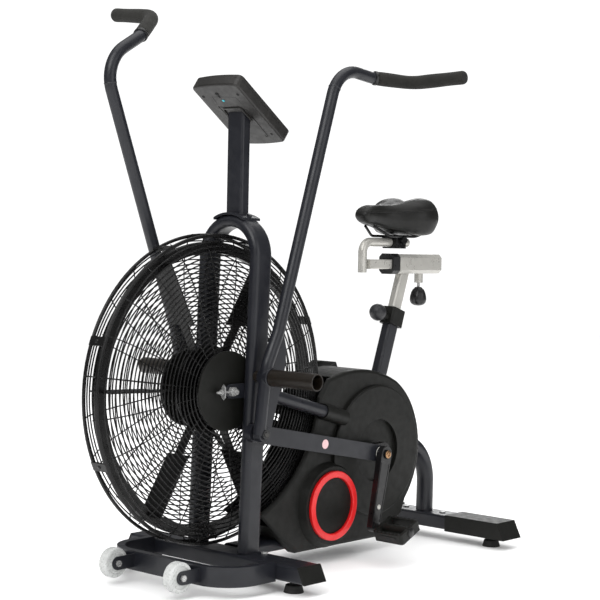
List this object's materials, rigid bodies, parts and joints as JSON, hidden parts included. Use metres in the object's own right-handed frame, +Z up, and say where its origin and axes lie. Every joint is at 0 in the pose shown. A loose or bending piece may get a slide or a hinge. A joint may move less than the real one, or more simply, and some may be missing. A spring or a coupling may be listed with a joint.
{
  "type": "air bike",
  "caption": "Upright exercise bike with a wire-caged fan, swinging handle arms linked to the pedals, a console on a hoop frame and an adjustable saddle.",
  "frame": {"origin": "middle of the bike's length and width, on the floor", "axes": "+X forward, the way the rider faces; +Y to the rider's left; +Z up"},
  "size_m": [1.197, 0.636, 1.3031],
  "materials": {
    "frame_paint": "satin charcoal powder coat",
    "cage_black": "gloss black coated wire",
    "black_plastic": "fine-grained moulded plastic",
    "red_trim": "gloss red",
    "clear_wheel": "translucent polyurethane",
    "silver": "satin silver plating",
    "bright_steel": "zinc-plated fasteners",
    "foam": "matte foam",
    "rubber": "matte black rubber",
    "saddle_skin": "soft black synthetic leather",
    "console_plastic": "dark grey moulded plastic",
    "display": "liquid-crystal window",
    "key": "grey keys"
  },
  "bodies": {
    "frame": {"front_stabilizer": "frame_paint", "rear_stabilizer": "frame_paint", "end_caps": "black_plastic", "levelling_feet": "rubber", "main_beam": "frame_paint", "wheel_bar": "frame_paint", "frame_bolts": "bright_steel", "hoop_frame": "frame_paint", "fan_axle": "bright_steel", "frame_stays": "frame_paint", "seat_tube": "frame_paint", "rear_tube": "frame_paint", "cage_left": "cage_black", "cage_right": "cage_black", "hub_covers": "black_plastic", "shaft_bearings": "bright_steel", "crank_belt": "rubber", "fan_belt": "rubber", "foot_pegs": "foam", "cover_left": "black_plastic", "cover_right": "black_plastic", "boss_rings": "red_trim", "console_post": "frame_paint", "console_back": "console_plastic", "console_front": "console_plastic", "console_screen": "display", "seat_collar": "black_plastic"},
    "fan": {"fan_hub": "cage_black", "fan_blades": "cage_black", "fan_pulley": "black_plastic"},
    "jackshaft": {"jackshaft": "bright_steel"},
    "crank": {"crank_axle": "cage_black", "crank_pulley": "black_plastic", "crank_arm_left": "cage_black", "crank_arm_right": "cage_black"},
    "rod_left": {"connecting_rod_left": "frame_paint"},
    "rod_right": {"connecting_rod_right": "frame_paint"},
    "pedal_left": {"pedal_left": "black_plastic"},
    "pedal_right": {"pedal_right": "black_plastic"},
    "arm_left": {"arm_left": "frame_paint", "arm_fittings_left": "bright_steel", "grip_left": "foam"},
    "arm_right": {"arm_right": "frame_paint", "arm_fittings_right": "bright_steel", "grip_right": "foam"},
    "wheel_left": {"transport_wheel_left": "clear_wheel"},
    "wheel_right": {"transport_wheel_right": "clear_wheel"},
    "seat_post": {"seat_post": "silver", "slide_housing": "silver", "slide_bushes": "black_plastic"},
    "saddle_carriage": {"slide_rail": "silver", "saddle_pillar": "silver", "saddle_clamp": "silver", "saddle_base": "black_plastic", "saddle_cushion": "saddle_skin"},
    "slide_knob": {"slide_knob": "black_plastic"},
    "pop_pin": {"pop_pin": "black_plastic"},
    "button_left": {"console_button_left": "key"},
    "button_middle": {"console_button_middle": "key"},
    "button_right": {"console_button_right": "key"}
  },
  "joints": [
    {"name": "crank_spin", "type": "hinge", "parent": "frame", "child": "crank", "pos_m": [-0.2705, 0, 0.254], "axis": [0, 1, 0], "continuous": true},
    {"name": "jackshaft_spin", "type": "hinge", "parent": "frame", "child": "jackshaft", "pos_m": [-0.0955, 0, 0.138], "axis": [0, 1, 0], "continuous": true},
    {"name": "fan_spin", "type": "hinge", "parent": "frame", "child": "fan", "pos_m": [0.2485, 0, 0.43], "axis": [0, 1, 0], "continuous": true},
    {"name": "rod_left_turn", "type": "hinge", "parent": "crank", "child": "rod_left", "pos_m": [-0.2315, 0.105, 0.254], "axis": [0, 1, 0], "continuous": true},
    {"name": "rod_right_turn", "type": "hinge", "parent": "crank", "child": "rod_right", "pos_m": [-0.3095, -0.105, 0.254], "axis": [0, 1, 0], "continuous": true},
    {"name": "pedal_left_spin", "type": "hinge", "parent": "crank", "child": "pedal_left", "pos_m": [-0.19512, 0.19, 0.08282], "axis": [0, 1, 0], "continuous": true},
    {"name": "pedal_right_spin", "type": "hinge", "parent": "crank", "child": "pedal_right", "pos_m": [-0.34588, -0.19, 0.42518], "axis": [0, 1, 0], "continuous": true},
    {"name": "arm_left_swing", "type": "hinge", "parent": "frame", "child": "arm_left", "pos_m": [0.1905, 0.13, 0.462], "axis": [0, 1, 0], "range_deg": [0, 38.4]},
    {"name": "arm_right_swing", "type": "hinge", "parent": "frame", "child": "arm_right", "pos_m": [0.1905, -0.13, 0.462], "axis": [0, 1, 0], "range_deg": [-38.4, 0]},
    {"name": "wheel_left_spin", "type": "hinge", "parent": "frame", "child": "wheel_left", "pos_m": [0.4305, 0.103, 0.0476], "axis": [0, 1, 0], "continuous": true},
    {"name": "wheel_right_spin", "type": "hinge", "parent": "frame", "child": "wheel_right", "pos_m": [0.4305, -0.103, 0.0476], "axis": [0, 1, 0], "continuous": true},
    {"name": "seat_height", "type": "slide", "parent": "frame", "child": "seat_post", "axis": [-0.3223, 0, 0.9466], "range_m": [-0.06, 0.14]},
    {"name": "seat_fore_aft", "type": "slide", "parent": "seat_post", "child": "saddle_carriage", "axis": [1, 0, 0], "range_m": [-0.07, 0.04]},
    {"name": "slide_knob_turn", "type": "hinge", "parent": "seat_post", "child": "slide_knob", "pos_m": [-0.5115, 0, 0.64], "axis": [0, 0, 1], "range_deg": [-180, 180]},
    {"name": "pop_pin_pull", "type": "slide", "parent": "frame", "child": "pop_pin", "axis": [0.9466, 0, 0.3223], "range_m": [0, 0.01], "stiffness_N_per_m": 800, "springref_m": -0.004},
    {"name": "button_left_press", "type": "slide", "parent": "frame", "child": "button_left", "axis": [-0.5822, 0, 0.8131], "range_m": [-0.002, 0], "stiffness_N_per_m": 500, "springref_m": 0.001},
    {"name": "button_middle_press", "type": "slide", "parent": "frame", "child": "button_middle", "axis": [-0.5822, 0, 0.8131], "range_m": [-0.002, 0], "stiffness_N_per_m": 500, "springref_m": 0.001},
    {"name": "button_right_press", "type": "slide", "parent": "frame", "child": "button_right", "axis": [-0.5822, 0, 0.8131], "range_m": [-0.002, 0], "stiffness_N_per_m": 500, "springref_m": 0.001}
  ],
  "couplings": [
    {"joint": "jackshaft_spin", "follows": "crank_spin", "ratio": 2.6667},
    {"joint": "fan_spin", "follows": "crank_spin", "ratio": 7.6923},
    {"joint": "rod_left_turn", "follows": "crank_spin", "ratio": -1},
    {"joint": "rod_right_turn", "follows": "crank_spin", "ratio": -1},
    {"joint": "arm_right_swing", "follows": "arm_left_swing", "ratio": -1}
  ]
}
